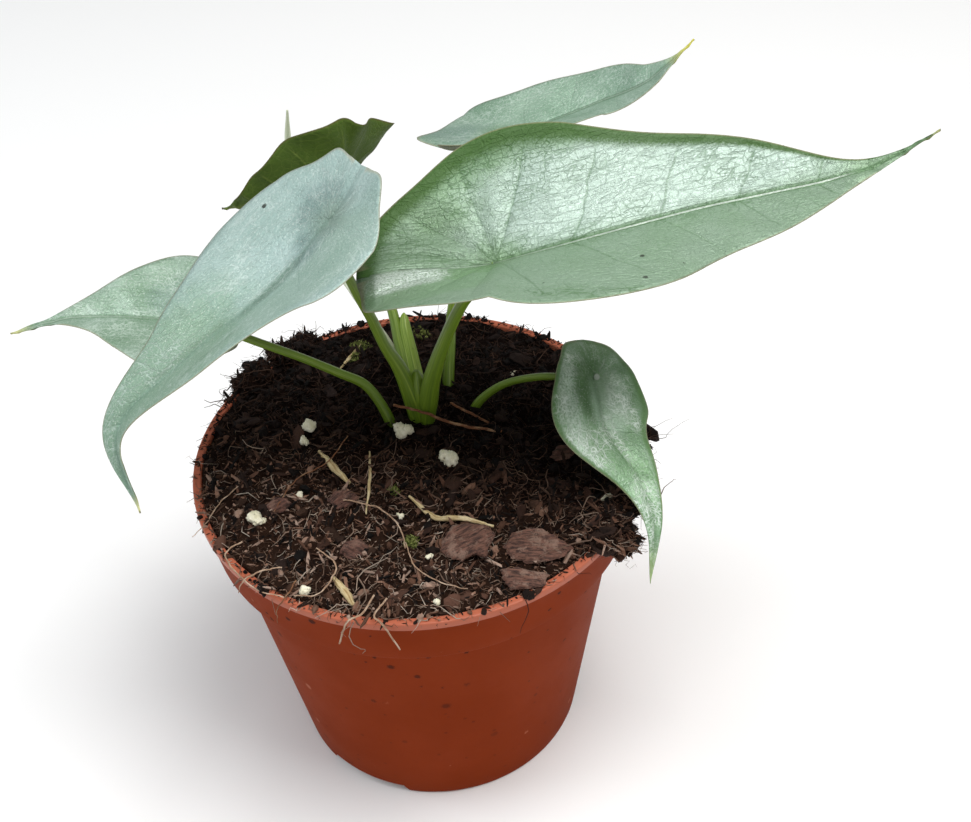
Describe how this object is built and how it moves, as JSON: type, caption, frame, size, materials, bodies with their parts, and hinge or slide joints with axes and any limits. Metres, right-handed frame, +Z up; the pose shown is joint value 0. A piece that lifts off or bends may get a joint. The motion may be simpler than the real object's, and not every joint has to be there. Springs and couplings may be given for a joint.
{
  "type": "potted silver-leaved alocasia",
  "caption": "Young arrow-leaved aroid with long silver-green blades on slender stalks, growing in peat soil in a tapered plastic nursery pot with a rim band.",
  "frame": {"origin": "middle of the pot's base, on the surface the pot stands on", "axes": "+Z up; +X towards the tip of the long leaf at the right; +Y towards the two rear leaves"},
  "size_m": [0.2322, 0.1484, 0.1804],
  "materials": {
    "pot": "matt terracotta-coloured moulded plastic, glossy on the lip",
    "soil": "damp dark peat with fibres",
    "leaf_silver": "living leaf, satin silver-green with fine darker veins",
    "leaf_olive": "living leaf, matt olive underside",
    "stalk": "living leaf stalk, satin olive green",
    "perlite": "dull porous white grain",
    "bark": "rough flaky bark",
    "straw": "dry pale fibre",
    "twig": "dry brown twig"
  },
  "bodies": {
    "root": {"pot": "pot", "soil": "soil", "shoot_centre": "stalk", "stalk_rear_right": "stalk", "stalk_far_left": "stalk", "stalk_low_right": "stalk", "blade_right": "leaf_silver", "blade_front_left": "leaf_silver", "blade_far_left": "leaf_silver", "blade_low_right": "leaf_silver", "blade_rear_right": "leaf_silver", "blade_rear_left": "leaf_olive", "perlite_1": "perlite", "perlite_2": "perlite", "perlite_3": "perlite", "perlite_4": "perlite", "perlite_5": "perlite", "perlite_6": "perlite", "perlite_7": "perlite", "perlite_8": "perlite", "perlite_9": "perlite", "perlite_10": "perlite", "perlite_11": "perlite", "perlite_12": "perlite", "perlite_13": "perlite", "bark_1": "bark", "bark_2": "bark", "bark_3": "bark", "bark_4": "bark", "bark_5": "bark", "bark_6": "bark", "bark_7": "bark", "straw_1": "straw", "straw_2": "straw", "straw_3": "straw", "straw_4": "straw", "straw_5": "straw", "twig_1": "twig", "twig_2": "twig", "rim_root_1": "straw", "rim_root_2": "straw"}
  },
  "joints": []
}
